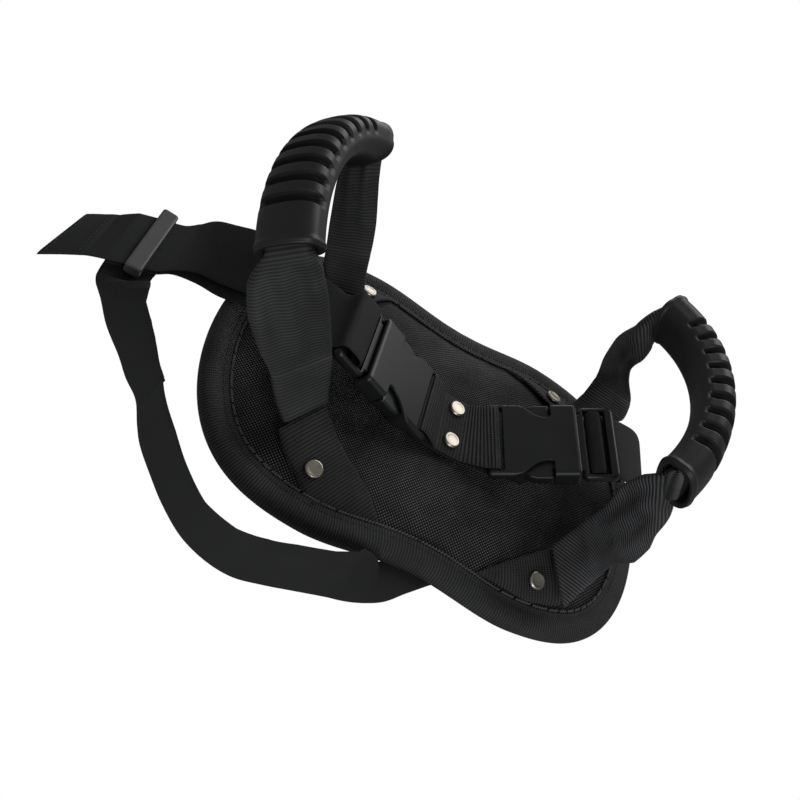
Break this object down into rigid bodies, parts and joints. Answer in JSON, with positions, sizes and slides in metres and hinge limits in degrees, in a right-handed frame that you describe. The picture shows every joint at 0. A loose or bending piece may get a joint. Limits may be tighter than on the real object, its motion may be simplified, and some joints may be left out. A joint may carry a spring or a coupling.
{
  "type": "gait belt",
  "caption": "Padded gait belt with two ribbed carrying handles, two side-release buckles on a riveted centre webbing, and a long waist strap with a keeper.",
  "frame": {"origin": "middle of the belt's footprint, on the surface that the belt lies on", "axes": "+X along the panel towards the end that the waist strap wraps, +Z out of the panel towards the handles"},
  "size_m": [0.4524, 0.269, 0.1659],
  "materials": {
    "pad_nylon": "basket-woven ballistic nylon",
    "webbing": "cross-ribbed polyester webbing",
    "foam": "closed-cell foam",
    "buckle_plastic": "satin moulded acetal",
    "keeper_plastic": "satin moulded nylon",
    "grip_rubber": "matt moulded rubber",
    "rivet_nickel": "nickel-plated cap"
  },
  "bodies": {
    "belt": {"panel_face": "pad_nylon", "panel_foam": "foam", "panel_lining": "pad_nylon", "edge_binding": "webbing", "tab_left_near": "pad_nylon", "tab_left_far": "pad_nylon", "tab_right_near": "pad_nylon", "tab_right_far": "pad_nylon", "rivet_tab_left_near": "rivet_nickel", "rivet_tab_left_far": "rivet_nickel", "rivet_tab_right_near": "rivet_nickel", "rivet_tab_right_far": "rivet_nickel", "rivet_centre_1": "rivet_nickel", "rivet_centre_2": "rivet_nickel", "rivet_back_tab_left_near": "rivet_nickel", "rivet_back_tab_left_far": "rivet_nickel", "rivet_back_tab_right_near": "rivet_nickel", "rivet_back_tab_right_far": "rivet_nickel", "rivet_back_centre_1": "rivet_nickel", "rivet_back_centre_2": "rivet_nickel", "centre_webbing": "webbing", "buckle_left_female": "buckle_plastic", "buckle_left_male": "buckle_plastic", "buckle_right_female": "buckle_plastic", "buckle_right_male": "buckle_plastic", "waist_strap_tail": "webbing", "waist_strap_loop": "webbing", "waist_strap_wrap": "webbing"},
    "handle_left": {"handle_left_webbing": "webbing", "handle_left_grip": "grip_rubber"},
    "handle_right": {"handle_right_webbing": "webbing", "handle_right_grip": "grip_rubber"},
    "keeper": {"strap_keeper": "keeper_plastic"},
    "prong_left_near": {"buckle_left_prong_near": "buckle_plastic"},
    "prong_left_far": {"buckle_left_prong_far": "buckle_plastic"},
    "prong_right_near": {"buckle_right_prong_near": "buckle_plastic"},
    "prong_right_far": {"buckle_right_prong_far": "buckle_plastic"}
  },
  "joints": [
    {"name": "handle_left_swing", "type": "hinge", "parent": "belt", "child": "handle_left", "pos_m": [-0.03986, -0.043, 0.02494], "axis": [0.0463, 0.9989, 0.0054], "range_deg": [-25, 60]},
    {"name": "handle_right_swing", "type": "hinge", "parent": "belt", "child": "handle_right", "pos_m": [0.15931, -0.02611, 0.02466], "axis": [-0.0624, 0.9979, -0.015], "range_deg": [-25, 60]},
    {"name": "keeper_slide", "type": "slide", "parent": "belt", "child": "keeper", "axis": [-0.936, -0.352, 0], "range_m": [0, 0.01]},
    {"name": "prong_left_near_press", "type": "hinge", "parent": "belt", "child": "prong_left_near", "pos_m": [-0.02052, 0.00985, 0.04548], "axis": [0.3918, -0.0205, 0.9198], "range_deg": [0, 6.5], "stiffness_Nm_per_rad": 0.5},
    {"name": "prong_left_far_press", "type": "hinge", "parent": "belt", "child": "prong_left_far", "pos_m": [-0.01895, 0.03981, 0.04548], "axis": [-0.3918, 0.0205, -0.9198], "range_deg": [0, 6.5], "stiffness_Nm_per_rad": 0.5},
    {"name": "prong_right_near_press", "type": "hinge", "parent": "belt", "child": "prong_right_near", "pos_m": [0.12515, 0.01509, 0.05499], "axis": [0.5277, 0.093, -0.8443], "range_deg": [0, 6.5], "stiffness_Nm_per_rad": 0.5},
    {"name": "prong_right_far_press", "type": "hinge", "parent": "belt", "child": "prong_right_far", "pos_m": [0.11994, 0.04464, 0.05499], "axis": [-0.5277, -0.093, 0.8443], "range_deg": [0, 6.5], "stiffness_Nm_per_rad": 0.5}
  ]
}
